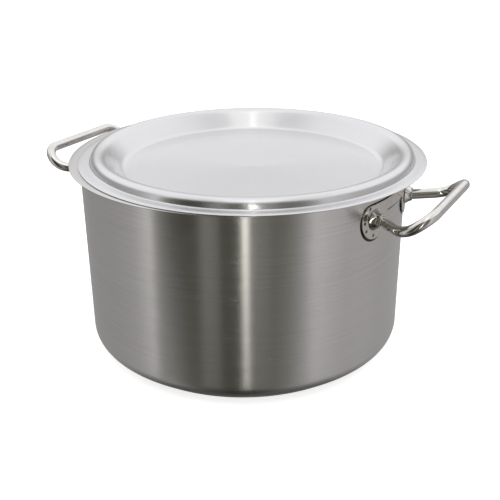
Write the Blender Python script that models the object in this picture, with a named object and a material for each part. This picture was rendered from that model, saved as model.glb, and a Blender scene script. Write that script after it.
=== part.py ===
"""Stock pot with two tube handles and a loose pressed lid.

Metres, +Z up.  The origin is the centre of the face that the pot stands on,
and the two handles lie on +X and -X.
"""

import math

import bmesh
import bpy
import numpy as np
from mathutils import Matrix, Vector

# ---- driving sizes -------------------------------------------------------
INNER_DIAMETER = 0.400
HEIGHT = 0.240
SHEET = 0.0010
CORNER_RADIUS = 0.020
RIM_FLANGE_WIDTH = 0.0132
RIM_FILLET = 0.0020

BASE_DIAMETER = 0.3634
BASE_CORE_THICKNESS = 0.0040
BASE_CAP_THICKNESS = 0.0010
BASE_CAP_EDGE_RADIUS = 0.0015

LID_SIDE_SHIFT = 0.0112
LID_BACK_SHIFT = 0.0028
LID_FLANGE_OVERLAP = 0.0126
LID_BEAD_CLEARANCE = 0.0010
LID_BEAD_HEIGHT = 0.0105
LID_BEAD_DRAFT = math.radians(12)
LID_BEAD_CREST_WIDTH = 0.0130
LID_BEAD_INNER_FILLET = 0.0145
LID_BEAD_OUTER_FILLET = 0.0080
LID_BEAD_FOOT_FILLET = 0.0020
LID_SLOPE_WIDTH = 0.0218
LID_SINK_DEPTH = 0.0115
LID_DISH_DEPTH = 0.0045
LID_PANEL_FILLET = 0.0100

TUBE_DIAMETER = 0.0120
TUBE_WALL = 0.0012
BOSS_HALF_SPACING = 0.0477
BOSS_BELOW_RIM = 0.0345
LEG_LENGTH = 0.0425
LEG_SPLAY = math.radians(36.5)
LEG_BEND_RADIUS = 0.0270
GRIP_REACH = 0.0640
GRIP_RISE = 0.0200
GRIP_HALF_LENGTH = 0.0690
GRIP_BEND_RADIUS = 0.0210

PLATE_THICKNESS = 0.0018
PLATE_TOP_BELOW_RIM = 0.0165
PLATE_LOBE_RADIUS = 0.0230
PLATE_SHOULDER_RADIUS = 0.0120
PLATE_BRIDGE_WIDTH = 0.0130
PLATE_BRIDGE_FILLET = 0.0040

FERRULE_BASE_DIAMETER = 0.0250
FERRULE_MOUTH_WALL = 0.0010
FERRULE_LENGTH = 0.0080
FERRULE_FLARE = 1.5

# ---- fits ----------------------------------------------------------------
JOINT_GAP = 0.0003
FERRULE_CLEARANCE = 0.0003

# ---- facets --------------------------------------------------------------
TURNED_STEPS = 64
TUBE_SIDES = 10
FERRULE_SIDES = 16
FERRULE_FLARE_STEPS = 5
PLATE_CORNER_STEPS = 4
ARC_STEP = math.radians(22)
PLATE_STRIP = 0.0060
MERGE_DISTANCE = 0.00001

# ---- sizes that follow ---------------------------------------------------
INNER_RADIUS = INNER_DIAMETER / 2
OUTER_RADIUS = INNER_RADIUS + SHEET
RIM_RADIUS = OUTER_RADIUS + RIM_FLANGE_WIDTH
CORE_BOTTOM = BASE_CAP_THICKNESS + JOINT_GAP
CORE_TOP = CORE_BOTTOM + BASE_CORE_THICKNESS
SHELL_BOTTOM = CORE_TOP + JOINT_GAP
BASE_CORE_RADIUS = BASE_DIAMETER / 2 - BASE_CAP_THICKNESS - JOINT_GAP
LID_BOTTOM = HEIGHT + JOINT_GAP
LID_TOP = LID_BOTTOM + SHEET
LID_FLANGE_RADIUS = OUTER_RADIUS + LID_FLANGE_OVERLAP
LID_BEAD_RADIUS = INNER_RADIUS - LID_BEAD_CLEARANCE
PLATE_INNER_RADIUS = OUTER_RADIUS + JOINT_GAP
PLATE_OUTER_RADIUS = PLATE_INNER_RADIUS + PLATE_THICKNESS
BOSS_ANGLE = math.asin(BOSS_HALF_SPACING / OUTER_RADIUS)
BOSS_HEIGHT = HEIGHT - BOSS_BELOW_RIM
TUBE_RADIUS = TUBE_DIAMETER / 2


def clear_scene():
    for scene_object in list(bpy.data.objects):
        bpy.data.objects.remove(scene_object, do_unlink=True)


def metal(name, colour, roughness):
    material = bpy.data.materials.new(name)
    material.use_nodes = True
    shader = material.node_tree.nodes["Principled BSDF"]
    shader.inputs["Base Color"].default_value = (*colour, 1.0)
    shader.inputs["Roughness"].default_value = roughness
    shader.inputs["Metallic"].default_value = 1.0
    return material


def add_object(name, mesh, material):
    mesh.materials.append(material)
    part = bpy.data.objects.new(name, mesh)
    bpy.context.scene.collection.objects.link(part)
    return part


def shade(mesh, sharp_degrees=35):
    mesh.shade_smooth()
    mesh.set_sharp_from_angle(angle=math.radians(sharp_degrees))


# ---- outlines ------------------------------------------------------------
def rounded(corners):
    """Points of a line through the corners (x, y, radius), each corner an arc."""
    points = [np.array(corners[0][:2], float)]
    for before, corner, after in zip(corners, corners[1:], corners[2:]):
        centre = np.array(corner[:2], float)
        radius = corner[2]
        to_before = np.array(before[:2], float) - centre
        to_after = np.array(after[:2], float) - centre
        to_before /= np.linalg.norm(to_before)
        to_after /= np.linalg.norm(to_after)
        between = math.acos(float(np.clip(to_before @ to_after, -1, 1)))
        middle = (to_before + to_after) / np.linalg.norm(to_before + to_after)
        arc_centre = centre + middle * radius / math.sin(between / 2)
        start = centre + to_before * radius / math.tan(between / 2) - arc_centre
        turn = math.pi - between
        side = math.copysign(1, to_before[1] * to_after[0] - to_before[0] * to_after[1])
        steps = max(2, math.ceil(turn / ARC_STEP))
        for step in range(steps + 1):
            angle = side * turn * step / steps
            cos, sin = math.cos(angle), math.sin(angle)
            points.append(arc_centre + [cos * start[0] - sin * start[1], sin * start[0] + cos * start[1]])
    points.append(np.array(corners[-1][:2], float))
    return np.array(points)


def beneath(outline, thickness):
    """The outline moved sideways by the sheet's thickness, to its right-hand side."""
    direction = np.diff(outline, axis=0)
    direction /= np.linalg.norm(direction, axis=1)[:, None]
    normal = np.stack([direction[:, 1], -direction[:, 0]], axis=1)
    first = np.vstack([normal[:1], normal])
    last = np.vstack([normal, normal[-1:]])
    mitre = (first + last) / (1 + np.sum(first * last, axis=1))[:, None]
    return outline + mitre * thickness


def turned(name, profile, material):
    """A solid turned about Z from a profile that starts and ends on the axis."""
    mesh = bpy.data.meshes.new(name)
    points = [(radius, 0.0, height) for radius, height in profile]
    edges = [(index, index + 1) for index in range(len(points) - 1)]
    mesh.from_pydata(points, edges, [])
    part = add_object(name, mesh, material)
    screw = part.modifiers.new("turned", "SCREW")
    screw.axis = "Z"
    screw.steps = TURNED_STEPS
    screw.render_steps = TURNED_STEPS
    screw.use_smooth_shade = True
    screw.use_merge_vertices = True
    screw.merge_threshold = MERGE_DISTANCE
    return part


def turned_sheet(name, outline, material):
    """A pressed sheet: the outline is its upper side, from the axis to the edge."""
    lower = beneath(outline, SHEET)
    lower[0, 0] = 0.0
    return turned(name, np.vstack([outline, lower[::-1]]), material)


# ---- pot -----------------------------------------------------------------
def pot_shell(material):
    floor = SHELL_BOTTOM + SHEET
    outline = rounded([
        (0, floor, 0),
        (INNER_RADIUS, floor, CORNER_RADIUS - SHEET),
        (INNER_RADIUS, HEIGHT, RIM_FILLET),
        (RIM_RADIUS, HEIGHT, 0),
    ])
    return turned_sheet("pot_shell", outline, material)


def base_core(material):
    profile = [(0, CORE_TOP), (BASE_CORE_RADIUS, CORE_TOP), (BASE_CORE_RADIUS, CORE_BOTTOM), (0, CORE_BOTTOM)]
    return turned("base_core", profile, material)


def base_cap(material):
    """A shallow steel tray round the core: its lip covers the core's edge."""
    outer = BASE_DIAMETER / 2
    inner = outer - BASE_CAP_THICKNESS
    edge = BASE_CAP_EDGE_RADIUS
    outside = rounded([(outer, CORE_TOP, 0), (outer, 0, edge), (0, 0, 0)])
    inside = [(0, BASE_CAP_THICKNESS), (inner, BASE_CAP_THICKNESS), (inner, CORE_TOP)]
    return turned("base_cap", np.vstack([inside, outside]), material)


def lid(material):
    """One pressed sheet: a flat flange, a raised bead and a sunk, slightly dished panel."""
    crest = LID_TOP + LID_BEAD_HEIGHT
    crest_outer = LID_BEAD_RADIUS - LID_BEAD_HEIGHT * math.tan(LID_BEAD_DRAFT)
    crest_inner = crest_outer - LID_BEAD_CREST_WIDTH
    panel_radius = crest_inner - LID_SLOPE_WIDTH
    panel = HEIGHT - LID_SINK_DEPTH
    outline = rounded([
        (0, panel - LID_DISH_DEPTH, 0),
        (panel_radius, panel, LID_PANEL_FILLET),
        (crest_inner, crest, LID_BEAD_INNER_FILLET),
        (crest_outer, crest, LID_BEAD_OUTER_FILLET),
        (LID_BEAD_RADIUS, LID_TOP, LID_BEAD_FOOT_FILLET),
        (LID_FLANGE_RADIUS, LID_TOP, 0),
    ])
    part = turned_sheet("lid", outline, material)
    part.location = (LID_SIDE_SHIFT, LID_BACK_SHIFT, 0)
    return part


# ---- handles -------------------------------------------------------------
def bend(before, corner, after, radius):
    """Points of the arc that rounds a corner between two straight runs in space."""
    to_before = (before - corner).normalized()
    to_after = (after - corner).normalized()
    between = to_before.angle(to_after)
    centre = corner + (to_before + to_after).normalized() * radius / math.sin(between / 2)
    start = corner + to_before * radius / math.tan(between / 2) - centre
    axis = to_after.cross(to_before).normalized()
    turn = math.pi - between
    steps = max(2, math.ceil(turn / ARC_STEP))
    return [centre + Matrix.Rotation(turn * step / steps, 3, axis) @ start for step in range(steps + 1)]


def boss(side):
    """Centre and outward direction of a ferrule's base on the +X handle's plate; side is -1 or 1."""
    normal = Vector((math.cos(BOSS_ANGLE), side * math.sin(BOSS_ANGLE), 0))
    centre = normal * (PLATE_OUTER_RADIUS + JOINT_GAP)
    centre.z = BOSS_HEIGHT
    return centre, normal


def leg(side):
    """Foot, direction and elbow of a leg: it passes through the centre of its ferrule's mouth."""
    centre, normal = boss(side)
    direction = Vector((math.cos(LEG_SPLAY), side * math.sin(LEG_SPLAY), 0))
    mouth = centre + normal * FERRULE_LENGTH
    foot = mouth - direction * (FERRULE_LENGTH / direction.dot(normal))
    return foot, direction, mouth + direction * LEG_LENGTH


def handle_path():
    """The tube's centre line: leg, elbow, grip corner, grip, and back down the other leg."""
    foot_a, _, elbow_a = leg(-1)
    foot_b, _, elbow_b = leg(1)
    grip = Vector((OUTER_RADIUS + GRIP_REACH, 0, BOSS_HEIGHT + GRIP_RISE))
    corner_a = grip - Vector((0, GRIP_HALF_LENGTH, 0))
    corner_b = grip + Vector((0, GRIP_HALF_LENGTH, 0))
    path = [foot_a]
    path += bend(foot_a, elbow_a, corner_a, LEG_BEND_RADIUS)
    path += bend(elbow_a, corner_a, corner_b, GRIP_BEND_RADIUS)
    path += bend(corner_a, corner_b, elbow_b, GRIP_BEND_RADIUS)
    path += bend(corner_b, elbow_b, foot_b, LEG_BEND_RADIUS)
    path.append(foot_b)
    return path


def tangents(path):
    result = []
    for index in range(len(path)):
        before = path[max(index - 1, 0)]
        after = path[min(index + 1, len(path) - 1)]
        result.append((after - before).normalized())
    return result


def slide_to_plane(points, direction, centre, normal):
    """Moves each point along the direction into the plane through the centre."""
    return [point + direction * ((centre - point).dot(normal) / direction.dot(normal)) for point in points]


def cut_to_plate(points, direction, side):
    """Slides the points along the leg until they lie in the plane of the ferrule's base."""
    return slide_to_plane(points, direction, *boss(side))


def tube_rings(path, radius):
    """Rings of points round the path, turned from one to the next without twist."""
    directions = tangents(path)
    across = Vector((0, 0, 1)).cross(directions[0]).normalized()
    rings = []
    for index, (centre, direction) in enumerate(zip(path, directions)):
        if index:
            across = directions[index - 1].rotation_difference(direction) @ across
        up = direction.cross(across)
        ring = []
        for side in range(TUBE_SIDES):
            angle = math.tau * side / TUBE_SIDES
            ring.append(centre + (across * math.cos(angle) + up * math.sin(angle)) * radius)
        rings.append(ring)
    rings[0] = cut_to_plate(rings[0], leg(-1)[1], -1)
    rings[-1] = cut_to_plate(rings[-1], leg(1)[1], 1)
    return rings


def join_rings(bm, first, second):
    for index in range(len(first)):
        following = (index + 1) % len(first)
        bm.faces.new((first[index], first[following], second[following], second[index]))


def solid_from_loops(name, loops):
    """A ring-shaped solid: each closed loop is joined to the next, the last to the first."""
    bm = bmesh.new()
    rings = [[bm.verts.new(point) for point in loop] for loop in loops]
    for first, second in zip(rings, rings[1:] + rings[:1]):
        join_rings(bm, first, second)
    bmesh.ops.recalc_face_normals(bm, faces=bm.faces)
    mesh = bpy.data.meshes.new(name)
    bm.to_mesh(mesh)
    bm.free()
    shade(mesh)
    return mesh


def handle_tube():
    path = handle_path()
    outer = tube_rings(path, TUBE_RADIUS)
    inner = tube_rings(path, TUBE_RADIUS - TUBE_WALL)
    return solid_from_loops("handle_tube", outer + inner[::-1])


def ferrule(side):
    """A bell-shaped collar square to the plate, bored at the leg's slant from mouth to base."""
    centre, normal = boss(side)
    foot, direction, _ = leg(side)
    upright = Vector((0, 0, 1))
    across = upright.cross(normal)
    bore = TUBE_RADIUS + FERRULE_CLEARANCE

    def ring(radius, height):
        middle = centre + normal * height
        angles = [math.tau * step / FERRULE_SIDES for step in range(FERRULE_SIDES)]
        return [middle + (across * math.cos(angle) + upright * math.sin(angle)) * radius for angle in angles]

    def bored(height):
        """The bore's edge where it crosses the plane at this height over the base."""
        side_on = upright.cross(direction)
        angles = [math.tau * step / FERRULE_SIDES for step in range(FERRULE_SIDES)]
        circle = [foot + (side_on * math.cos(angle) + upright * math.sin(angle)) * bore for angle in angles]
        return slide_to_plane(circle, direction, centre + normal * height, normal)

    base = FERRULE_BASE_DIAMETER / 2
    mouth = bore / direction.dot(normal) + FERRULE_MOUTH_WALL
    loops = []
    for step in range(FERRULE_FLARE_STEPS + 1):
        share = step / FERRULE_FLARE_STEPS
        loops.append(ring(mouth + (base - mouth) * (1 - share) ** FERRULE_FLARE, FERRULE_LENGTH * share))
    loops += [bored(FERRULE_LENGTH), bored(0)]
    return solid_from_loops("handle_ferrule", loops)


def arc(centre_x, centre_z, radius, start, end, steps):
    angles = [start + (end - start) * step / steps for step in range(steps + 1)]
    return [(centre_x + radius * math.cos(angle), centre_z + radius * math.sin(angle)) for angle in angles]


def plate_outline():
    """The plate laid flat: two round lobes hung from a straight bridge along the top."""
    top = -PLATE_TOP_BELOW_RIM
    lobe_x = BOSS_ANGLE * PLATE_OUTER_RADIUS
    lobe_z = -BOSS_BELOW_RIM
    # the shoulder's arc lies inside the lobe's circle and touches it and the top edge
    shoulder_z = top - PLATE_SHOULDER_RADIUS
    inside = PLATE_LOBE_RADIUS - PLATE_SHOULDER_RADIUS
    leave = math.asin((shoulder_z - lobe_z) / inside)
    shoulder_x = lobe_x + inside * math.cos(leave)
    # the fillet's arc lies outside the lobe's circle, in the corner under the bridge
    fillet_z = top - PLATE_BRIDGE_WIDTH - PLATE_BRIDGE_FILLET
    outside = PLATE_LOBE_RADIUS + PLATE_BRIDGE_FILLET
    meet = math.asin((fillet_z - lobe_z) / outside)
    fillet_x = lobe_x - outside * math.cos(meet)
    lobe_steps = math.ceil((math.pi + meet + leave) / (ARC_STEP / 2))
    half = arc(shoulder_x, shoulder_z, PLATE_SHOULDER_RADIUS, math.pi / 2, leave, PLATE_CORNER_STEPS)
    half += arc(lobe_x, lobe_z, PLATE_LOBE_RADIUS, leave, -math.pi - meet, lobe_steps)[1:]
    half += arc(fillet_x, fillet_z, PLATE_BRIDGE_FILLET, meet, math.pi / 2, PLATE_CORNER_STEPS)[1:]
    mirrored = [(-x, z) for x, z in reversed(half)]
    return half + mirrored


def handle_plate():
    """The plate's outline filled, cut in strips, thickened, and rolled to the wall's curve."""
    bm = bmesh.new()
    outline = plate_outline()
    face = bm.faces.new([bm.verts.new((x, z, 0)) for x, z in outline])
    half_width = max(x for x, _ in outline)
    strips = math.ceil(2 * half_width / PLATE_STRIP)
    for cut in range(1, strips):
        place = -half_width + 2 * half_width * cut / strips
        everything = bm.verts[:] + bm.edges[:] + bm.faces[:]
        bmesh.ops.bisect_plane(
            bm, geom=everything, dist=MERGE_DISTANCE, plane_co=(place, 0, 0), plane_no=(1, 0, 0))
    bmesh.ops.triangulate(bm, faces=bm.faces)
    made = bmesh.ops.extrude_face_region(bm, geom=bm.faces[:])
    raised = [item for item in made["geom"] if isinstance(item, bmesh.types.BMVert)]
    bmesh.ops.translate(bm, verts=raised, vec=(0, 0, PLATE_THICKNESS))
    # the faces are turned outwards while the plate is flat: rolling it keeps them so
    bmesh.ops.recalc_face_normals(bm, faces=bm.faces)
    for vert in bm.verts:
        angle = vert.co.x / PLATE_OUTER_RADIUS
        radius = PLATE_INNER_RADIUS + vert.co.z
        vert.co = (radius * math.cos(angle), radius * math.sin(angle), HEIGHT + vert.co.y)
    mesh = bpy.data.meshes.new("handle_plate")
    bm.to_mesh(mesh)
    bm.free()
    shade(mesh)
    return mesh


def handles(polished):
    """Both handles share their meshes: the left one is the right one turned half round."""
    plate, tube = handle_plate(), handle_tube()
    collars = (ferrule(-1), ferrule(1))
    for mesh in (plate, tube, *collars):
        mesh.materials.append(polished)
    for place, turn, ends in (("right", 0, ("front", "rear")), ("left", math.pi, ("rear", "front"))):
        pieces = {f"{place}_handle_plate": plate, f"{place}_handle_tube": tube}
        for end, collar in zip(ends, collars):
            pieces[f"{place}_{end}_ferrule"] = collar
        for name, mesh in pieces.items():
            part = bpy.data.objects.new(name, mesh)
            part.rotation_euler.z = turn
            bpy.context.scene.collection.objects.link(part)


clear_scene()
brushed_steel = metal("brushed_steel", (0.60, 0.59, 0.57), 0.32)
lid_steel = metal("lid_steel", (0.72, 0.72, 0.74), 0.28)
polished_steel = metal("polished_steel", (0.70, 0.69, 0.66), 0.10)
core_aluminium = metal("core_aluminium", (0.78, 0.78, 0.79), 0.45)
pot_shell(brushed_steel)
base_core(core_aluminium)
base_cap(brushed_steel)
lid(lid_steel)
handles(polished_steel)
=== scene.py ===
"""The looks of a stock pot with two welded tube handles and a loose pressed lid.

Metres, +Z up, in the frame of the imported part.
"""

import math

import bpy
import numpy as np
from mathutils import Matrix, Vector


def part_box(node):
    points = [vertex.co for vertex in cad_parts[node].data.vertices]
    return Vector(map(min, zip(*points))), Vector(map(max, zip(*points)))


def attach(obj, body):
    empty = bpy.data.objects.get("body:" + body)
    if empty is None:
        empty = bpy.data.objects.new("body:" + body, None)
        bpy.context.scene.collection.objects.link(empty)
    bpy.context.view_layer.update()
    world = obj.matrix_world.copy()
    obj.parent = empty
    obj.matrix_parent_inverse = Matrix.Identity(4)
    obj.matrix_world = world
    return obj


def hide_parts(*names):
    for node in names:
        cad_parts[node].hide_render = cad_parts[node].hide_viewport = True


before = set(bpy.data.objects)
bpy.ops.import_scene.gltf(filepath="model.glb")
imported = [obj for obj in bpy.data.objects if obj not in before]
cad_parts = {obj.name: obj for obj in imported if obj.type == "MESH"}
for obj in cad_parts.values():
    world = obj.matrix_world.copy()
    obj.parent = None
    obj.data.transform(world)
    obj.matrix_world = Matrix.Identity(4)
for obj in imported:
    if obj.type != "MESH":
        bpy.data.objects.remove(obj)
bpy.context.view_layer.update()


# ---- base ----------------------------------------------------------------
# The pot stands on a thick sandwich base: a cast aluminium disc that spreads the
# heat, closed underneath by a shallow pressed steel tray brazed on round its edge.
# Only the tray's rim and underside show.
BASE_SHEET = 0.0010
BASE_EDGE_RADIUS = 0.0015
LIP_ROUND = 0.0003
TURNED_STEPS = 288
ARC_STEP = math.radians(6)
LONGEST_STEP = 0.008
MERGE_GRID = 1e-7
SHARP_ANGLE = math.radians(50)


def rounded(corners):
    """An outline through corners (x, y, radius), each corner replaced by its arc.

    An arc's centre lies on the corner's bisector, radius / sin(half the corner's angle)
    away, and the straight runs between arcs are cut into steps of a few millimetres.
    """
    corners = np.array(corners, float)
    points = [corners[:1, :2]]
    for before, corner, after in zip(corners, corners[1:], corners[2:]):
        back = (before - corner)[:2] / np.linalg.norm((before - corner)[:2])
        on = (after - corner)[:2] / np.linalg.norm((after - corner)[:2])
        half = math.acos(float(np.clip(back @ on, -1, 1))) / 2
        centre = corner[:2] + (back + on) / np.linalg.norm(back + on) * corner[2] / math.sin(half)
        start = corner[:2] + back * corner[2] / math.tan(half) - centre
        turn = (math.pi - 2 * half) * math.copysign(1, back[1] * on[0] - back[0] * on[1])
        angles = np.linspace(0, turn, max(3, math.ceil(abs(turn) / ARC_STEP) + 1))[:, None]
        turned = np.array([-start[1], start[0]])
        points.append(centre + np.cos(angles) * start + np.sin(angles) * turned)
    points.append(corners[-1:, :2])
    return stepped(np.vstack(points))


def stepped(points):
    """The same line with every long run cut into even steps."""
    runs = np.linalg.norm(np.diff(points, axis=0), axis=1)
    cuts = np.ceil(runs / LONGEST_STEP).astype(int).clip(1)
    places = np.concatenate([i + np.arange(n) / n for i, n in enumerate(cuts)] + [[len(runs)]])
    return np.stack([np.interp(places, np.arange(len(points)), column) for column in points.T], axis=1)


def beneath(outline, thickness):
    """The outline moved to its right by the thickness, mitred where its runs meet."""
    along = np.diff(outline, axis=0)
    along /= np.linalg.norm(along, axis=1)[:, None]
    right = np.stack([along[:, 1], -along[:, 0]], axis=1)
    first, last = np.vstack([right[:1], right]), np.vstack([right, right[-1:]])
    mitre = (first + last) / (1 + np.sum(first * last, axis=1))[:, None]
    return outline + mitre * thickness


def surface(name, grid, wrap_rows=True, wrap_columns=False):
    """A closed mesh over a grid of points P(row, column).

    Each cell gives two triangles; points that coincide, as at a pole or a tip, are made
    one, and the winding is chosen so that the enclosed volume is positive.
    """
    rows, columns = grid.shape[:2]
    index = np.arange(rows * columns).reshape(rows, columns)
    index = np.vstack([index, index[:1]]) if wrap_rows else index
    index = np.hstack([index, index[:, :1]]) if wrap_columns else index
    a, b, c, d = index[:-1, :-1], index[1:, :-1], index[1:, 1:], index[:-1, 1:]
    triangles = np.concatenate([
        np.stack([a, b, c], axis=-1).reshape(-1, 3),
        np.stack([a, c, d], axis=-1).reshape(-1, 3),
    ])
    keys = np.round(grid.reshape(-1, 3) / MERGE_GRID).astype(np.int64)
    _, kept, merged = np.unique(keys, axis=0, return_index=True, return_inverse=True)
    points = grid.reshape(-1, 3)[kept]
    triangles = merged.reshape(-1)[triangles]
    whole = (triangles != np.roll(triangles, 1, axis=1)).all(axis=1)
    triangles = triangles[whole]
    p, q, r = points[triangles[:, 0]], points[triangles[:, 1]], points[triangles[:, 2]]
    if np.sum(p * np.cross(q, r)) < 0:
        triangles = triangles[:, ::-1]
    mesh = bpy.data.meshes.new(name)
    mesh.from_pydata(points.tolist(), [], triangles.tolist())
    mesh.shade_smooth()
    mesh.set_sharp_from_angle(angle=SHARP_ANGLE)
    return mesh


def turned(name, profile, centre=(0.0, 0.0)):
    """A profile of (radius, height) carried round the vertical line through the centre."""
    angle = np.linspace(0, math.tau, TURNED_STEPS, endpoint=False)[:, None]
    radius, height = profile[:, 0], profile[:, 1]
    x = centre[0] + radius * np.cos(angle)
    y = centre[1] + radius * np.sin(angle)
    return surface(name, np.stack([x, y, height + 0 * angle], axis=-1))


def place(name, mesh, material, body, nodes):
    """Puts a finished piece in the scene, on its body, in place of the plain solids it stands for."""
    mesh.materials.append(material)
    piece = bpy.data.objects.new(name, mesh)
    bpy.context.scene.collection.objects.link(piece)
    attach(piece, body)
    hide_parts(*nodes)
    return piece


def node(tree, kind, inputs=None, **settings):
    """Adds a shader node, sets it up, and gives each named input its value or its link."""
    made = tree.nodes.new(kind)
    for setting, value in settings.items():
        setattr(made, setting, value)
    for socket, value in (inputs or {}).items():
        if isinstance(value, bpy.types.NodeSocket):
            tree.links.new(value, made.inputs[socket])
        else:
            made.inputs[socket].default_value = value
    return made


def group(name, inputs, outputs):
    """A shader node group with named value, vector or colour sockets, and its two end nodes."""
    tree = bpy.data.node_groups.new(name, "ShaderNodeTree")
    for socket, kind in inputs.items():
        tree.interface.new_socket(socket, in_out="INPUT", socket_type=kind)
    for socket, kind in outputs.items():
        tree.interface.new_socket(socket, in_out="OUTPUT", socket_type=kind)
    return tree, tree.nodes.new("NodeGroupInput").outputs, tree.nodes.new("NodeGroupOutput").inputs


def abrasive_lines():
    """The fine parallel lines that an abrasive belt or pad leaves on a turning piece.

    Lines is noise stretched by (1/spacing across the lines, 1/length along them); Scratches
    keeps only the deepest of a sparser set.
    """
    sparser = 0.43
    shallow, deep = 0.60, 0.74
    tree, given, result = group(
        "abrasive lines",
        {
            "Across": "NodeSocketFloat",
            "Place": "NodeSocketVector",
            "Spacing": "NodeSocketFloat",
            "Length": "NodeSocketFloat",
        },
        {"Lines": "NodeSocketFloat", "Scratches": "NodeSocketFloat"})
    across = node(
        tree, "ShaderNodeMath", {0: given["Across"], 1: given["Spacing"]}, operation="DIVIDE")
    length = node(tree, "ShaderNodeMath", {0: 1.0, 1: given["Length"]}, operation="DIVIDE")
    along = node(
        tree, "ShaderNodeVectorMath", {0: given["Place"], "Scale": length.outputs[0]},
        operation="SCALE")
    split = node(tree, "ShaderNodeSeparateXYZ", {0: along.outputs[0]})
    stretched = node(
        tree, "ShaderNodeCombineXYZ",
        {0: split.outputs[0], 1: split.outputs[1], 2: across.outputs[0]})
    fine = node(
        tree, "ShaderNodeTexNoise",
        {"Vector": stretched.outputs[0], "Scale": 1.0, "Detail": 2.0, "Roughness": 0.6})
    tree.links.new(fine.outputs["Fac"], result["Lines"])
    sparse = node(
        tree, "ShaderNodeTexNoise",
        {"Vector": stretched.outputs[0], "Scale": sparser, "Detail": 1.0})
    deepest = node(
        tree, "ShaderNodeMapRange",
        {"Value": sparse.outputs["Fac"], "From Min": shallow, "From Max": deep},
        interpolation_type="SMOOTHSTEP")
    tree.links.new(deepest.outputs["Result"], result["Scratches"])
    return tree


def handling_marks():
    """Faint clouds where hands and cloths have dulled the metal: two noises, one closer than
    the other, multiplied."""
    closer = 5.3
    clean, dull = 0.20, 0.38
    tree, given, result = group(
        "handling marks",
        {"Place": "NodeSocketVector", "Size": "NodeSocketFloat"},
        {"Smudge": "NodeSocketFloat"})
    scale = node(tree, "ShaderNodeMath", {0: 1.0, 1: given["Size"]}, operation="DIVIDE")
    wide = node(
        tree, "ShaderNodeTexNoise",
        {"Vector": given["Place"], "Scale": scale.outputs[0], "Detail": 3.0})
    close_scale = node(
        tree, "ShaderNodeMath", {0: scale.outputs[0], 1: closer}, operation="MULTIPLY")
    small = node(
        tree, "ShaderNodeTexNoise",
        {"Vector": given["Place"], "Scale": close_scale.outputs[0], "Detail": 2.0})
    both = node(
        tree, "ShaderNodeMath", {0: wide.outputs["Fac"], 1: small.outputs["Fac"]},
        operation="MULTIPLY")
    mask = node(
        tree, "ShaderNodeMapRange",
        {"Value": both.outputs[0], "From Min": clean, "From Max": dull},
        interpolation_type="SMOOTHSTEP")
    tree.links.new(mask.outputs["Result"], result["Smudge"])
    return tree


LINES = abrasive_lines()
MARKS = handling_marks()
ACROSS_THE_LINES = 0.25


def mixed(tree, share, low, high):
    """A value or colour between low and high."""
    if isinstance(low, tuple):
        mix = node(tree, "ShaderNodeMix", {"Factor": share}, data_type="RGBA")
        mix.inputs[6].default_value = (*low, 1.0)
        mix.inputs[7].default_value = (*high, 1.0)
        return mix.outputs[2]
    mix = node(tree, "ShaderNodeMapRange", {"Value": share, "To Min": low, "To Max": high})
    return mix.outputs["Result"]


def brushed_metal(name, dark, light, roughness, anisotropic, spacing, length, depth, centre=None):
    """Steel or aluminium finished with an abrasive while it turned.

    The lines run level round a wall, or, given a centre, in rings about it.  Roughness is
    that between the lines, that in them, and what the handling marks add.
    """
    smudge_size = 0.09
    scratch_roughness, scratch_relief = 0.03, -0.15
    material = bpy.data.materials.new(name)
    material.use_nodes = True
    tree = material.node_tree
    shader = tree.nodes["Principled BSDF"]
    shader.inputs["Metallic"].default_value = 1.0
    shader.inputs["Anisotropic"].default_value = anisotropic
    shader.inputs["Anisotropic Rotation"].default_value = ACROSS_THE_LINES
    place_on = node(tree, "ShaderNodeTexCoord").outputs["Object"]
    if centre is None:
        across = node(tree, "ShaderNodeSeparateXYZ", {0: place_on}).outputs[2]
    else:
        centred = node(
            tree, "ShaderNodeMapping",
            {"Vector": place_on, "Location": (-centre[0], -centre[1], 0)})
        flat = node(
            tree, "ShaderNodeVectorMath", {0: centred.outputs[0], 1: (1, 1, 0)},
            operation="MULTIPLY")
        across = node(
            tree, "ShaderNodeVectorMath", {0: flat.outputs[0]}, operation="LENGTH").outputs["Value"]
    lines = node(tree, "ShaderNodeGroup", node_tree=LINES)
    tree.links.new(across, lines.inputs["Across"])
    tree.links.new(place_on, lines.inputs["Place"])
    lines.inputs["Spacing"].default_value = spacing
    lines.inputs["Length"].default_value = length
    marks = node(tree, "ShaderNodeGroup", node_tree=MARKS)
    tree.links.new(place_on, marks.inputs["Place"])
    marks.inputs["Size"].default_value = smudge_size
    tree.links.new(mixed(tree, lines.outputs["Lines"], dark, light), shader.inputs["Base Color"])
    grain = mixed(tree, lines.outputs["Lines"], roughness[0], roughness[1])
    dulled = mixed(tree, marks.outputs["Smudge"], 0.0, roughness[2])
    worn = mixed(tree, lines.outputs["Scratches"], 0.0, scratch_roughness)
    total = node(tree, "ShaderNodeMath", {0: grain, 1: dulled}, operation="ADD")
    total = node(tree, "ShaderNodeMath", {0: total.outputs[0], 1: worn}, operation="ADD")
    tree.links.new(total.outputs[0], shader.inputs["Roughness"])
    cut = mixed(tree, lines.outputs["Scratches"], 0.0, scratch_relief)
    relief = node(tree, "ShaderNodeMath", {0: lines.outputs["Lines"], 1: cut}, operation="ADD")
    bump = node(
        tree, "ShaderNodeBump",
        {"Strength": 1.0, "Distance": depth, "Height": relief.outputs[0]})
    tree.links.new(bump.outputs["Normal"], shader.inputs["Normal"])
    return material


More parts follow.
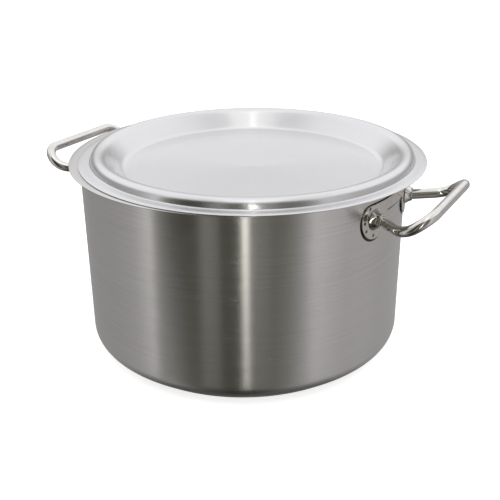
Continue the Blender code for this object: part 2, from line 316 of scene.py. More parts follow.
base_low, base_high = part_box("base_cap")
base_radius = base_high.x
tray_outside = rounded([
    (base_radius, base_high.z - LIP_ROUND, 0),
    (base_radius, 0, BASE_EDGE_RADIUS),
    (0, 0, 0),
])
tray_inside = rounded([
    (0, BASE_SHEET, 0),
    (base_radius - BASE_SHEET, BASE_SHEET, BASE_EDGE_RADIUS - BASE_SHEET),
    (base_radius - BASE_SHEET, base_high.z - LIP_ROUND, 0),
])
tray_lip = np.array([
    (base_radius - BASE_SHEET + LIP_ROUND, base_high.z),
    (base_radius - LIP_ROUND, base_high.z),
])
base_steel = brushed_metal(
    "base steel", dark=(0.46, 0.455, 0.44), light=(0.60, 0.595, 0.58),
    roughness=(0.30, 0.40, 0.06), anisotropic=0.7,
    spacing=0.0009, length=0.05, depth=0.00002, centre=(0, 0))
place(
    "base_tray", turned("base_tray", np.vstack([tray_inside, tray_lip, tray_outside])), base_steel,
    "pot", ["base_cap"])

cast_aluminium = brushed_metal(
    "cast aluminium", dark=(0.68, 0.68, 0.69), light=(0.82, 0.82, 0.83),
    roughness=(0.42, 0.55, 0.05), anisotropic=0.0,
    spacing=0.0030, length=0.01, depth=0.00005, centre=(0, 0))
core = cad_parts["base_core"]
core.data.materials.clear()
core.data.materials.append(cast_aluminium)


# ---- pot body ------------------------------------------------------------
# A deep-drawn shell of 1 mm stainless steel with a generous bottom corner and a flat
# flange turned out at the top.  The wall is brushed level with an abrasive belt while
# the shell spins, so its lines run all the way round.
SHEET = 0.0010
FLANGE_WIDTH = 0.0132
RIM_FILLET = 0.0020
BOTTOM_CORNER = 0.0200

shell_low, shell_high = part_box("pot_shell")
rim_radius = shell_high.x
wall_radius = rim_radius - FLANGE_WIDTH
bore_radius = wall_radius - SHEET
rim_height = shell_high.z


def edge_round(upper, lower):
    """The half circle that closes a sheet's cut edge, from its upper to its lower corner."""
    middle, reach = (upper + lower) / 2, (upper - lower) / 2
    angle = np.linspace(0, -math.pi, 7)[1:-1, None]
    return middle + np.cos(angle) * reach + np.sin(angle) * np.array([-reach[1], reach[0]])


def pressed_sheet(upper):
    """A sheet of even thickness under an outline that runs from the axis to its round cut edge."""
    lower = beneath(upper, SHEET)
    lower[0, 0] = 0.0
    return np.vstack([upper, edge_round(upper[-1], lower[-1]), lower[::-1]])


shell_outline = rounded([
    (0, shell_low.z + SHEET, 0),
    (bore_radius, shell_low.z + SHEET, BOTTOM_CORNER - SHEET),
    (bore_radius, rim_height, RIM_FILLET),
    (rim_radius - SHEET / 2, rim_height, 0),
])
brushed_steel = brushed_metal(
    "brushed steel", dark=(0.66, 0.655, 0.64), light=(0.82, 0.815, 0.80),
    roughness=(0.18, 0.26, 0.03), anisotropic=0.95,
    spacing=0.0011, length=0.12, depth=0.000010)
place(
    "pot_body", turned("pot_body", pressed_sheet(shell_outline)), brushed_steel,
    "pot", ["pot_shell"])


# ---- lid -----------------------------------------------------------------
# One pressing of 1 mm sheet: a flat flange that rests on the pot's flange, a raised
# bead, a steep slope down to a sunk panel that is dished a little, so that drops run
# to its middle.  It is finished in fine rings on a lathe.
BEAD_WIDTH = 0.0146
BEAD_DRAFT = math.radians(12)
CREST_WIDTH = 0.0130
CREST_INNER_FILLET = 0.0145
CREST_OUTER_FILLET = 0.0080
BEAD_FOOT_FILLET = 0.0020
SLOPE_WIDTH = 0.0218
PANEL_FILLET = 0.0100
BEAD_HEIGHT = 0.0105
DISH_DEPTH = 0.0045

lid_low, lid_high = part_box("lid")
lid_centre = ((lid_low.x + lid_high.x) / 2, (lid_low.y + lid_high.y) / 2)
lid_radius = (lid_high.x - lid_low.x) / 2
crest = lid_high.z
flange = crest - BEAD_HEIGHT
bead_foot = lid_radius - BEAD_WIDTH
crest_outer = bead_foot - BEAD_HEIGHT * math.tan(BEAD_DRAFT)
crest_inner = crest_outer - CREST_WIDTH
panel_middle = lid_low.z + SHEET
lid_outline = rounded([
    (0, panel_middle, 0),
    (crest_inner - SLOPE_WIDTH, panel_middle + DISH_DEPTH, PANEL_FILLET),
    (crest_inner, crest, CREST_INNER_FILLET),
    (crest_outer, crest, CREST_OUTER_FILLET),
    (bead_foot, flange, BEAD_FOOT_FILLET),
    (lid_radius - SHEET / 2, flange, 0),
])
spun_steel = brushed_metal(
    "spun steel", dark=(0.79, 0.79, 0.80), light=(0.86, 0.86, 0.87),
    roughness=(0.20, 0.25, 0.03), anisotropic=0.85,
    spacing=0.0010, length=0.30, depth=0.000003, centre=lid_centre)
place(
    "pressed_lid", turned("pressed_lid", pressed_sheet(lid_outline), lid_centre), spun_steel,
    "lid", ["lid"])


# ---- handle plates -------------------------------------------------------
# Each handle is carried by a pressed plate rolled to the wall's curve: two round
# lobes under the ferrules, joined by a bridge along the top.  It is polished, and
# spot-welded through the outer side of each lobe.
PLATE_THICKNESS = 0.0018
PLATE_FRONT_ROUND = 0.0006
PLATE_BACK_ROUND = 0.0003
PLATE_GAP = 0.0003
LOBE_SPACING = 0.0477
LOBE_BELOW_RIM = 0.0345
LOBE_RADIUS = 0.0230
SHOULDER_RADIUS = 0.0120
BRIDGE_WIDTH = 0.0130
BRIDGE_FILLET = 0.0040
WELD_RING = 0.0185
WELD_RADIUS = 0.0018
WELD_DEPTH = 0.0007
WELD_ANGLES = np.radians([125, 180, 214, 262])
PLATE_STEP = 0.0007
WELD_STAIN = 0.0026
WELD_TONE = (0.15, 0.12, 0.10)
# a painted shadow on the wall round each plate: its width, how much lower it hangs beneath the plate,
# the rounding of its corners, and its dark tone
PAINTED_SHADE_WIDTH = 0.0018
PAINTED_SHADE_DROP = 0.0018
PAINTED_SHADE_FILLET = 1.5 * BRIDGE_FILLET
PAINTED_SHADE_SHOULDER = 0.35 * SHOULDER_RADIUS
MARK_CORE = 0.4
PAINTED_SHADE_TONE = (0.06, 0.05, 0.045)
PLATE_ROWS = 48

plate_back = wall_radius + PLATE_GAP
plate_face = plate_back + PLATE_THICKNESS
plate_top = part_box("right_handle_plate")[1].z - rim_height
lobe_angle = math.asin(LOBE_SPACING / wall_radius)
lobe_across = lobe_angle * plate_face


def arc(centre, radius, start, end):
    """Points of an arc at even steps, in a plane."""
    angle = np.linspace(start, end, max(3, math.ceil(abs(end - start) / math.radians(1.5))))
    return np.stack([centre[0] + radius * np.cos(angle), centre[1] + radius * np.sin(angle)], axis=1)


def plate_edges():
    """The flat plate's top and bottom edges at shared places across, from one tip to the other.

    The bottom edge is the lobe's circle, the fillet and the bridge's underside, in even steps;
    the top edge, of shoulder arc and straight, is read off at the same places across.
    """
    shoulder_height = plate_top - SHOULDER_RADIUS
    inside = LOBE_RADIUS - SHOULDER_RADIUS
    leave = math.asin((shoulder_height + LOBE_BELOW_RIM) / inside)
    shoulder = (lobe_across + inside * math.cos(leave), shoulder_height)
    under = plate_top - BRIDGE_WIDTH
    outside = LOBE_RADIUS + BRIDGE_FILLET
    meet = math.asin((under - BRIDGE_FILLET + LOBE_BELOW_RIM) / outside)
    fillet = (lobe_across - outside * math.cos(meet), under - BRIDGE_FILLET)
    lobe = (lobe_across, -LOBE_BELOW_RIM)
    bottom = np.vstack([
        arc(lobe, LOBE_RADIUS, 0, -math.pi - meet),
        arc(fillet, BRIDGE_FILLET, meet, math.pi / 2),
        [(0.0, under)],
    ])
    top = np.vstack([
        arc(lobe, LOBE_RADIUS, 0, leave),
        arc(shoulder, SHOULDER_RADIUS, leave, math.pi / 2),
        [(0.0, plate_top)],
    ])
    run = np.concatenate([[0], np.cumsum(np.linalg.norm(np.diff(bottom, axis=0), axis=1))])
    even = np.linspace(0, run[-1], math.ceil(run[-1] / PLATE_STEP) + 1)
    bottom = np.stack([np.interp(even, run, column) for column in bottom.T], axis=1)
    across = np.minimum.accumulate(bottom[:, 0])
    top = np.stack([across, np.interp(across, top[::-1, 0], top[::-1, 1])], axis=1)
    bottom[:, 0] = across
    mirror = np.array([-1, 1])
    return np.vstack([top, top[-2::-1] * mirror]), np.vstack([bottom, bottom[-2::-1] * mirror])


def inward(edge, side):
    """Unit normals into the plate along an edge; side is 1 on the bottom edge and -1 on the top."""
    along = np.gradient(edge, axis=0)
    along[0], along[-1] = (0, -side), (0, side)
    along /= np.linalg.norm(along, axis=1)[:, None]
    return side * np.stack([along[:, 1], -along[:, 0]], axis=1)


def plate_mesh(name, side):
    """A closed section carried from tip to tip: front face, rounded bottom edge, back face,
    rounded top edge; then the flat plate is rolled to the wall: angle = across / radius."""
    top, bottom = plate_edges()
    top_in, bottom_in = inward(top, -1), inward(bottom, 1)
    turn = np.linspace(0, math.pi / 2, 5)
    front, back = PLATE_FRONT_ROUND, PLATE_BACK_ROUND
    inset = np.concatenate([front * (1 - np.sin(turn)), back * (1 - np.cos(turn))])
    depth = np.concatenate([PLATE_THICKNESS - front * (1 - np.cos(turn)), back * (1 - np.sin(turn))])
    rows = np.linspace(0, 1, PLATE_ROWS)[None, 1:-1, None]
    face_top, face_bottom = top + front * top_in, bottom + front * bottom_in
    face = face_top[:, None] * (1 - rows) + face_bottom[:, None] * rows
    bottom_edge = bottom[:, None] + inset[None, :, None] * bottom_in[:, None]
    top_edge = (top[:, None] + inset[None, :, None] * top_in[:, None])[:, ::-1]
    flat = np.concatenate([face, bottom_edge, top_edge], axis=1)
    columns = len(top)
    depths = np.concatenate([
        np.full((columns, PLATE_ROWS - 2), PLATE_THICKNESS),
        np.tile(depth, (columns, 1)),
        np.tile(depth[::-1], (columns, 1)),
    ], axis=1)
    for lobe in (-1, 1):
        for angle in WELD_ANGLES:
            weld = (
                lobe * (lobe_across - WELD_RING * math.cos(angle)),
                WELD_RING * math.sin(angle) - LOBE_BELOW_RIM)
            away = np.hypot(flat[..., 0] - weld[0], flat[..., 1] - weld[1]) / WELD_RADIUS
            depths -= np.where(depths > PLATE_THICKNESS / 2, WELD_DEPTH * np.exp(-away ** 4), 0)
    angle = flat[..., 0] / plate_face
    radius = plate_back + depths
    rolled = np.stack([
        side * radius * np.cos(angle),
        side * radius * np.sin(angle),
        rim_height + flat[..., 1],
    ], axis=-1)
    return surface(name, rolled, wrap_rows=False, wrap_columns=True)


def polished_metal(name, dark, light, roughness, ripple):
    """Steel polished bright: soft ripples and a few hairline scratches that run the way it was buffed.

    Roughness is that of the polish, that of a scratch, and what the handling marks add.
    """
    buffing_turn = (0.5, 0.3, 0.9)
    buffing_spacing, buffing_length = 0.0007, 0.012
    smudge_size = 0.03
    ripples_per_metre = 90.0
    material = bpy.data.materials.new(name)
    material.use_nodes = True
    tree = material.node_tree
    shader = tree.nodes["Principled BSDF"]
    shader.inputs["Metallic"].default_value = 1.0
    place_on = node(tree, "ShaderNodeTexCoord").outputs["Object"]
    turned_on = node(
        tree, "ShaderNodeMapping", {"Vector": place_on, "Rotation": buffing_turn})
    across = node(tree, "ShaderNodeSeparateXYZ", {0: turned_on.outputs[0]}).outputs[2]
    lines = node(tree, "ShaderNodeGroup", node_tree=LINES)
    tree.links.new(across, lines.inputs["Across"])
    tree.links.new(turned_on.outputs[0], lines.inputs["Place"])
    lines.inputs["Spacing"].default_value = buffing_spacing
    lines.inputs["Length"].default_value = buffing_length
    marks = node(tree, "ShaderNodeGroup", node_tree=MARKS)
    tree.links.new(place_on, marks.inputs["Place"])
    marks.inputs["Size"].default_value = smudge_size
    tone = mixed(tree, marks.outputs["Smudge"], light, dark)
    tree.links.new(tone, shader.inputs["Base Color"])
    buffed = mixed(tree, lines.outputs["Scratches"], roughness[0], roughness[1])
    dulled = mixed(tree, marks.outputs["Smudge"], 0.0, roughness[2])
    total = node(tree, "ShaderNodeMath", {0: buffed, 1: dulled}, operation="ADD")
    tree.links.new(total.outputs[0], shader.inputs["Roughness"])
    waves = node(
        tree, "ShaderNodeTexNoise",
        {"Vector": place_on, "Scale": ripples_per_metre, "Detail": 1.0})
    bump = node(
        tree, "ShaderNodeBump",
        {"Strength": 1.0, "Distance": ripple, "Height": waves.outputs["Fac"]})
    tree.links.new(bump.outputs["Normal"], shader.inputs["Normal"])
    return material


def plate_shade_and_weld_marks():
    """Masks on the wall and on the plate, by angle x radius across and by height.

    Painted shade is 1 on the wall just outside the plate, and a little lower where the plate shades
    the wall: a painted shadow of the plate.  Its distance is the lesser of those to a lobe's circle
    and to the bridge's underside, and the greater of that, the height over the plate's top and the
    depth into the sheet.
    Welds is 1 close to a spot weld.
    """
    tree, given, result = group(
        "plate shade and weld marks",
        {"Place": "NodeSocketVector"},
        {"Seam": "NodeSocketFloat", "Welds": "NodeSocketFloat"})

    def calculate(operation, *values):
        numbers = dict(enumerate(values))
        return node(tree, "ShaderNodeMath", numbers, operation=operation).outputs[0]

    def distance(across, over):
        squares = calculate("ADD", calculate("POWER", across, 2.0), calculate("POWER", over, 2.0))
        return calculate("SQRT", squares)

    def within(value, limit, output):
        mask = node(
            tree, "ShaderNodeMapRange",
            {"Value": value, "From Min": limit, "From Max": MARK_CORE * limit},
            interpolation_type="SMOOTHSTEP")
        tree.links.new(mask.outputs["Result"], result[output])

    x, y, z = node(tree, "ShaderNodeSeparateXYZ", {0: given["Place"]}).outputs
    angle = calculate("ARCTAN2", calculate("ABSOLUTE", y), calculate("ABSOLUTE", x))
    across = calculate("MULTIPLY_ADD", angle, plate_face, -lobe_across)
    height = calculate("SUBTRACT", z, rim_height)
    over = calculate("ADD", height, LOBE_BELOW_RIM)

    # the painted shade: the distance from the plate's outline, taken lower down where the plate
    # shadows the wall
    dropped = calculate("ADD", height, PAINTED_SHADE_DROP)
    to_middle = distance(across, calculate("ADD", over, PAINTED_SHADE_DROP))
    to_lobe = calculate("SUBTRACT", to_middle, LOBE_RADIUS)
    under_bridge = calculate("SUBTRACT", plate_top - BRIDGE_WIDTH, dropped)
    to_bridge = calculate("MAXIMUM", under_bridge, across)
    nearest = calculate("SMOOTH_MIN", to_lobe, to_bridge, PAINTED_SHADE_FILLET)
    over_top = calculate("SUBTRACT", height, plate_top)
    nearest = calculate("SMOOTH_MAX", nearest, over_top, PAINTED_SHADE_SHOULDER)
    # through the sheet's thickness the painted shade fades from full to none
    fading = PAINTED_SHADE_WIDTH / SHEET
    inside = calculate("MULTIPLY_ADD", distance(x, y), -fading, wall_radius * fading)
    within(calculate("MAXIMUM", nearest, inside), PAINTED_SHADE_WIDTH, "Seam")

    to_weld = 1.0
    for turn in WELD_ANGLES:
        beside = calculate("ADD", across, WELD_RING * math.cos(turn))
        above = calculate("SUBTRACT", over, WELD_RING * math.sin(turn))
        to_weld = calculate("MINIMUM", distance(beside, above), to_weld)
    within(to_weld, WELD_STAIN, "Welds")
    return tree


def stain_and_shade(material, marks, mask, tone):
    """Takes the material's colour to the tone where the mask is 1: a painted shadow on the wall round
    the plates, and a real stain round the spot welds.
    """
    tree = material.node_tree
    colour = tree.nodes["Principled BSDF"].inputs["Base Color"]
    masks = node(tree, "ShaderNodeGroup", node_tree=marks)
    tree.links.new(node(tree, "ShaderNodeTexCoord").outputs["Object"], masks.inputs["Place"])
    mix = node(
        tree, "ShaderNodeMix",
        {"Factor": masks.outputs[mask], 6: colour.links[0].from_socket}, data_type="RGBA")
    mix.inputs[7].default_value = (*tone, 1)
    tree.links.new(mix.outputs[2], colour)


SHADE_AND_WELDS_BY_PLATE = plate_shade_and_weld_marks()
# the wall gets a painted shadow just outside each plate, dark and a little lower beneath it
stain_and_shade(brushed_steel, SHADE_AND_WELDS_BY_PLATE, "Seam", PAINTED_SHADE_TONE)
plate_steel = polished_metal(
    "plate steel", dark=(0.70, 0.68, 0.64), light=(0.76, 0.74, 0.70),
    roughness=(0.10, 0.20, 0.03), ripple=0.00010)
stain_and_shade(plate_steel, SHADE_AND_WELDS_BY_PLATE, "Welds", WELD_TONE)
for hand, side in (("right", 1), ("left", -1)):
    place(
        f"{hand}_plate", plate_mesh(f"{hand}_plate", side), plate_steel,
        "pot", [f"{hand}_handle_plate"])


# ---- handle tubes --------------------------------------------------------
# A 12 mm stainless tube, mirror-polished and bent cold four times: each leg leaves
# the plate level and splayed, turns up and out at an elbow, and turns again into the
# straight grip.
TUBE_DIAMETER = 0.0120
FERRULE_LENGTH = 0.0080
LEG_LENGTH = 0.0425
LEG_SPLAY = math.radians(36.5)
LEG_BEND = 0.0270
GRIP_HALF_LENGTH = 0.0690
GRIP_BEND = 0.0210
TUBE_SIDES = 48
BEND_STEP = math.radians(4)
TUBE_STEP = 0.003

tube_low, tube_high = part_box("right_handle_tube")
tube_radius = TUBE_DIAMETER / 2
leg_height = rim_height - LOBE_BELOW_RIM
grip_x = tube_high.x - tube_radius
grip_height = tube_high.z - tube_radius


def boss(end):
    """Centre and outward normal of a ferrule's base on the +X plate; end is -1 or 1."""
    normal = np.array([math.cos(lobe_angle), end * math.sin(lobe_angle), 0])
    return normal * (plate_face + PLATE_GAP) + [0, 0, leg_height], normal


def leg(end):
    """Foot, direction and elbow of a leg, which passes through the middle of its ferrule's mouth."""
    centre, normal = boss(end)
    direction = np.array([math.cos(LEG_SPLAY), end * math.sin(LEG_SPLAY), 0])
    mouth = centre + normal * FERRULE_LENGTH
    foot = mouth - direction * FERRULE_LENGTH / (direction @ normal)
    return foot, direction, mouth + direction * LEG_LENGTH


def bend(before, corner, after, radius):
    """The arc in space that rounds a corner: centre on the bisector, turned in even steps."""
    back = (before - corner) / np.linalg.norm(before - corner)
    on = (after - corner) / np.linalg.norm(after - corner)
    half = math.acos(float(back @ on)) / 2
    centre = corner + (back + on) / np.linalg.norm(back + on) * radius / math.sin(half)
    start = corner + back * radius / math.tan(half) - centre
    turn = math.pi - 2 * half
    angle = np.linspace(0, turn, math.ceil(turn / BEND_STEP) + 1)[:, None]
    return centre + np.cos(angle) * start - np.sin(angle) * back * radius


def tube_path():
    """The tube's centre line from one plate to the other, and the direction along it."""
    (foot_a, _, elbow_a), (foot_b, _, elbow_b) = leg(-1), leg(1)
    corner_a = np.array([grip_x, -GRIP_HALF_LENGTH, grip_height])
    corner_b = np.array([grip_x, GRIP_HALF_LENGTH, grip_height])
    line = np.vstack([
        foot_a,
        bend(foot_a, elbow_a, corner_a, LEG_BEND),
        bend(elbow_a, corner_a, corner_b, GRIP_BEND),
        bend(corner_a, corner_b, elbow_b, GRIP_BEND),
        bend(corner_b, elbow_b, foot_b, LEG_BEND),
        foot_b,
    ])
    runs = np.linalg.norm(np.diff(line, axis=0), axis=1)
    line = line[np.concatenate([[True], runs > 1e-6])]
    runs = runs[runs > 1e-6]
    cuts = np.ceil(runs / TUBE_STEP).astype(int)
    places = np.concatenate([i + np.arange(n) / n for i, n in enumerate(cuts)] + [[len(runs)]])
    line = np.stack([np.interp(places, np.arange(len(line)), column) for column in line.T], axis=1)
    along = np.gradient(line, axis=0)
    return line, along / np.linalg.norm(along, axis=1)[:, None]


def tube_mesh(name, side):
    """A circle carried along the centre line.  Its frame is the direction along the tube, the
    part of straight-up square to that, and their cross product; both ends close on the axis."""
    line, along = tube_path()
    up = np.array([0, 0, 1.0]) - along * along[:, 2:]
    up /= np.linalg.norm(up, axis=1)[:, None]
    across = np.cross(up, along)
    angle = np.linspace(0, math.tau, TUBE_SIDES, endpoint=False)[None, :, None]
    circle = np.cos(angle) * up[:, None] + np.sin(angle) * across[:, None]
    rings = line[:, None] + tube_radius * circle
    for ring, end in ((0, -1), (-1, 1)):
        centre, normal = boss(end)
        direction = leg(end)[1]
        rings[ring] += ((centre - rings[ring]) @ normal / (direction @ normal))[:, None] * direction
    caps = rings.mean(axis=1)[[0, -1], None] + 0 * rings[:1]
    grid = np.concatenate([caps[:1], rings, caps[1:]])
    return surface(name, grid * np.array([side, side, 1]), wrap_rows=False, wrap_columns=True)


tube_steel = polished_metal(
    "tube steel", dark=(0.78, 0.765, 0.74), light=(0.84, 0.83, 0.80),
    roughness=(0.035, 0.12, 0.02), ripple=0.00003)
for hand, side in (("right", 1), ("left", -1)):
    place(
        f"{hand}_tube", tube_mesh(f"{hand}_tube", side), tube_steel,
        "pot", [f"{hand}_handle_tube"])


# ---- ferrules ------------------------------------------------------------
# A bell-shaped collar closes each foot of the tube.  It sits square on the plate, is
# bored at the leg's slant with a fine clearance, and is polished like the plate.
FERRULE_BASE_RADIUS = 0.0125
FERRULE_CLEARANCE = 0.0003
FERRULE_WALL = 0.0010
FERRULE_FLARE = 1.5
FERRULE_LIP = 0.0004
FERRULE_SIDES = 72
FLARE_ROWS = 22
LIP_ROWS = 6


def ferrule_mesh(name, end, side):
    """Rings round the wall's normal: radius = mouth + (base - mouth) * (1 - height) ** flare,
    a rounded lip, and then the slanted bore, a circle slid along the leg to each height."""
    centre, normal = boss(end)
    foot, direction, _ = leg(end)
    up = np.array([0, 0, 1.0])
    bore = tube_radius + FERRULE_CLEARANCE
    mouth = bore / (direction @ normal) + FERRULE_WALL
    share = np.linspace(0, 1, FLARE_ROWS)
    radius = mouth + (FERRULE_BASE_RADIUS - mouth) * (1 - share) ** FERRULE_FLARE
    height = FERRULE_LENGTH * share
    turn = np.linspace(0, math.pi / 2, LIP_ROWS)[1:]
    lip_radius = mouth - FERRULE_LIP * (1 - np.cos(turn))
    height[-1] -= FERRULE_LIP
    radius = np.concatenate([radius, lip_radius])
    height = np.concatenate([height, FERRULE_LENGTH - FERRULE_LIP * (1 - np.sin(turn))])
    angle = np.linspace(0, math.tau, FERRULE_SIDES, endpoint=False)[None, :, None]
    across = np.cross(up, normal)
    circle = np.cos(angle) * across + np.sin(angle) * up
    outside = centre + height[:, None, None] * normal + radius[:, None, None] * circle
    side_on = np.cross(up, direction)
    ring = foot + bore * (np.cos(angle[0]) * side_on + np.sin(angle[0]) * up)
    heights = np.array([FERRULE_LENGTH, FERRULE_LENGTH / 2, 0.0])[:, None]
    slide = ((centre - ring) @ normal + heights) / (direction @ normal)
    bored = ring + slide[..., None] * direction
    grid = np.concatenate([outside, bored, outside[:1]])
    return surface(name, grid * np.array([side, side, 1]), wrap_rows=False, wrap_columns=True)


ferrule_steel = polished_metal(
    "ferrule steel", dark=(0.76, 0.745, 0.71), light=(0.82, 0.80, 0.77),
    roughness=(0.05, 0.14, 0.02), ripple=0.00003)
for name, end, side in (
        ("right_front_ferrule", -1, 1), ("right_rear_ferrule", 1, 1),
        ("left_front_ferrule", 1, -1), ("left_rear_ferrule", -1, -1)):
    place(
        name.replace("ferrule", "collar"), ferrule_mesh(name, end, side), ferrule_steel,
        "pot", [name])


# ---- camera --------------------------------------------------------------
# A camera a metre away and half a metre up, to the right of the front.
CAMERA_AZIMUTH = 30.45
CAMERA_DISTANCE = 0.9496
CAMERA_HEIGHT = 0.5294
CAMERA_PITCH = 23.95
CAMERA_YAW = -0.45
CAMERA_ROLL = -0.48
CAMERA_LENS = 56.74
SENSOR_WIDTH = 36.0

camera_data = bpy.data.cameras.new("camera")
camera_data.lens = CAMERA_LENS
camera_data.sensor_width = SENSOR_WIDTH
camera = bpy.data.objects.new("camera", camera_data)
bpy.context.scene.collection.objects.link(camera)
around = Matrix.Rotation(math.radians(CAMERA_AZIMUTH), 4, "Z")
camera.matrix_world = (
    Matrix.Translation(around @ Vector((0, -CAMERA_DISTANCE, CAMERA_HEIGHT)))
    @ around
    @ Matrix.Rotation(math.radians(CAMERA_YAW), 4, "Z")
    @ Matrix.Rotation(math.radians(90 - CAMERA_PITCH), 4, "X")
    @ Matrix.Rotation(math.radians(CAMERA_ROLL), 4, "Z"))
bpy.context.scene.camera = camera


# ---- studio --------------------------------------------------------------
# A pale sweep to stand on, and a white tent of light with a dark opening at the
# front, where the camera stands, split by one narrow strip light.
FLOOR_HALF = 6.0
FLOOR_STEPS = 2
PAPER = (0.90, 0.90, 0.90)
PAPER_GLOW = 0.75
# brightness round the tent: share of the way round from the back, level with the pot's
# foot as the wall mirrors it, level with its rim
TENT = (
    (0.000, 0.38, 0.38),
    (0.070, 0.36, 0.34),
    (0.130, 0.31, 0.31),
    (0.200, 0.31, 0.32),
    (0.250, 0.34, 0.35),
    (0.275, 0.35, 0.39),
    (0.295, 0.37, 0.50),
    (0.314, 0.41, 0.66),
    (0.328, 0.42, 0.26),
    (0.345, 0.37, 0.12),
    (0.365, 0.27, 0.05),
    (0.385, 0.17, 0.04),
    (0.405, 0.12, 0.06),
    (0.428, 0.10, 0.23),
    (0.445, 0.10, 0.20),
    (0.460, 0.07, 0.08),
    (0.480, 0.045, 0.09),
    (0.520, 0.09, 0.26),
    (0.540, 0.12, 0.21),
    (0.555, 0.16, 0.13),
    (0.570, 0.21, 0.13),
    (0.585, 0.27, 0.15),
    (0.600, 0.34, 0.22),
    (0.615, 0.39, 0.34),
    (0.632, 0.44, 0.56),
    (0.650, 0.44, 0.56),
    (0.670, 0.42, 0.50),
    (0.710, 0.38, 0.43),
    (0.760, 0.38, 0.42),
    (0.820, 0.35, 0.38),
    (1.000, 0.38, 0.38),
)
# overhead panels: distance aside from the middle, colour
PANELS = (
    (0.00, (1.12, 1.12, 1.12)),
    (0.16, (1.12, 1.12, 1.12)),
    (0.25, (0.84, 0.84, 0.85)),
    (0.40, (0.80, 0.80, 0.81)),
    (0.60, (0.95, 0.95, 0.96)),
    (1.00, (1.00, 1.00, 1.01)),
)
# the top behind the pot, and how much of the ring's light is left straight down
TENT_BACK = (0.97, 0.97, 0.98)
FLOOR_SHADE = 0.25
# where the ring's lower tones give way to its upper ones, where the white top starts in
# front and at the back, and how far up it takes to be full
RING_TURN = (-0.58, -0.44)
TOP_STARTS = (0.10, 0.68)
TOP_RISE = 0.30
# the strip light: height from straight down (0) to straight up (1), colour
STRIP = (
    (0.23, (0.0, 0.0, 0.0)),
    (0.375, (2.1, 2.07, 1.9)),
    (0.48, (4.5, 4.4, 4.1)),
    (0.68, (4.5, 4.4, 4.2)),
    (0.80, (2.0, 2.0, 2.0)),
    (1.00, (2.0, 2.0, 2.0)),
)
# how far the strip stands aside, level and higher up, and its half width
STRIP_LEAN = (0.012, -0.015)
STRIP_LOW_HALF_WIDTH = 0.036
STRIP_HIGH_HALF_WIDTH = 0.012


def floor_mesh():
    """A flat square on a grid of a few cells, facing up."""
    side = np.linspace(-FLOOR_HALF, FLOOR_HALF, FLOOR_STEPS + 1)
    x, y = np.meshgrid(side, side)
    points = np.stack([x, y, 0 * x], axis=-1).reshape(-1, 3)
    index = np.arange(len(points)).reshape(len(side), len(side))
    corners = [index[:-1, :-1], index[:-1, 1:], index[1:, 1:], index[1:, :-1]]
    cells = np.stack(corners, axis=-1).reshape(-1, 4)
    mesh = bpy.data.meshes.new("floor")
    mesh.from_pydata(points.tolist(), [], cells.tolist())
    return mesh


def floor_material():
    """Matt white paper, lifted by its own glow so that it stays pale right up to the pot."""
    material = bpy.data.materials.new("paper sweep")
    material.use_nodes = True
    shader = material.node_tree.nodes["Principled BSDF"]
    shader.inputs["Base Color"].default_value = (*PAPER, 1)
    shader.inputs["Roughness"].default_value = 1.0
    shader.inputs["Specular IOR Level"].default_value = 0.0
    shader.inputs["Emission Color"].default_value = (1, 1, 1, 1)
    shader.inputs["Emission Strength"].default_value = PAPER_GLOW
    return material


floor = bpy.data.objects.new("floor", floor_mesh())
floor.data.materials.append(floor_material())
bpy.context.scene.collection.objects.link(floor)
floor.visible_glossy = False


def tones(tree, value, stops):
    """A colour ramp that eases through (place, colour) stops."""
    ramp = node(tree, "ShaderNodeValToRGB", {"Fac": value})
    while len(ramp.color_ramp.elements) < len(stops):
        ramp.color_ramp.elements.new(0.5)
    for stop, (position, colour) in zip(ramp.color_ramp.elements, stops):
        stop.position = position
        stop.color = (*colour, 1)
    ramp.color_ramp.interpolation = "EASE"
    return ramp.outputs["Color"]


def olive(grey):
    """A grey as a colour: the darker it is, the more it leans to olive."""
    return 1.03 * grey, grey, grey * min(1.0, 0.72 + 0.9 * grey)


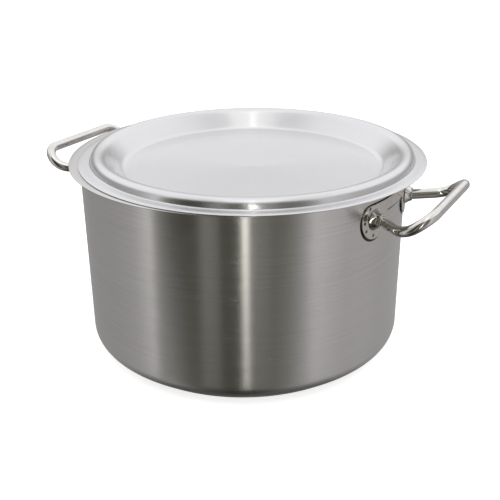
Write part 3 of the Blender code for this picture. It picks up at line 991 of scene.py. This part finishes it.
def tent_light():
    """The world's light: a ring of tones round the horizon, blending up into a white top."""
    world = bpy.data.worlds.new("tent")
    bpy.context.scene.world = world
    world.use_nodes = True
    tree = world.node_tree
    tree.nodes.clear()

    def calculate(operation, *values):
        numbers = dict(enumerate(values))
        return node(tree, "ShaderNodeMath", numbers, operation=operation).outputs[0]

    def spread(value, start, end, low=0.0, high=1.0, kind="LINEAR"):
        limits = {"Value": value, "From Min": start, "From Max": end, "To Min": low, "To Max": high}
        return node(tree, "ShaderNodeMapRange", limits, interpolation_type=kind).outputs[0]

    def blend(factor, first, second):
        inputs = {"Factor": factor, 6: first, 7: second}
        return node(tree, "ShaderNodeMix", inputs, data_type="RGBA").outputs[2]

    direction = node(tree, "ShaderNodeTexCoord").outputs["Generated"]
    facing = node(
        tree, "ShaderNodeMapping",
        {"Vector": direction, "Rotation": (0, 0, math.radians(90 - CAMERA_AZIMUTH))},
        vector_type="POINT")
    forward, right, up = node(tree, "ShaderNodeSeparateXYZ", {0: facing.outputs[0]}).outputs
    share = spread(calculate("ARCTAN2", right, forward), -math.pi, math.pi)
    ring = blend(
        spread(up, *RING_TURN),
        tones(tree, share, [(stop, olive(lower)) for stop, lower, _ in TENT]),
        tones(tree, share, [(stop, olive(upper)) for stop, _, upper in TENT]))
    panels = tones(tree, calculate("ABSOLUTE", right), PANELS)
    top = blend(spread(forward, 0.2, -0.5, kind="SMOOTHSTEP"), panels, (*TENT_BACK, 1))
    # the white top comes down lower at the back than over the dark opening
    starts = spread(forward, -0.6, 0.6, *TOP_STARTS)
    ends = calculate("ADD", starts, TOP_RISE)
    # straight down, where things look at their own shadow, it is darker
    shade = spread(up, -0.9, -0.6, FLOOR_SHADE, 1.0)
    low = node(tree, "ShaderNodeVectorMath", {0: ring, "Scale": shade}, operation="SCALE")
    tent = blend(spread(up, starts, ends, kind="SMOOTHSTEP"), low.outputs[0], top)
    # the strip is a soft-edged band in front, only where it is brighter than the tent
    offset = calculate("SUBTRACT", right, spread(up, 0.0, 0.2, *STRIP_LEAN))
    half_width = spread(up, -0.3, 0.6, STRIP_LOW_HALF_WIDTH, STRIP_HIGH_HALF_WIDTH)
    part = calculate("DIVIDE", calculate("ABSOLUTE", offset), half_width)
    in_strip = spread(part, 1.3, 0.7, kind="SMOOTHSTEP")
    in_front = spread(forward, -0.1, 0.2, kind="SMOOTHSTEP")
    colour = tones(tree, spread(up, -1.0, 1.0), STRIP)
    tube = node(tree, "ShaderNodeVectorMath", {0: tent, 1: colour}, operation="MAXIMUM")
    lit = blend(calculate("MULTIPLY", in_strip, in_front), tent, tube.outputs[0])
    # the camera itself sees plain white
    seen = node(tree, "ShaderNodeBackground", {"Color": (1, 1, 1, 1), "Strength": 1.0})
    shining = node(tree, "ShaderNodeBackground", {"Color": lit, "Strength": 1.0})
    straight = node(tree, "ShaderNodeLightPath").outputs["Is Camera Ray"]
    chosen = node(
        tree, "ShaderNodeMixShader", {0: straight, 1: shining.outputs[0], 2: seen.outputs[0]})
    node(tree, "ShaderNodeOutputWorld", {"Surface": chosen.outputs[0]})


tent_light()
bpy.context.scene.view_settings.view_transform = "Standard"
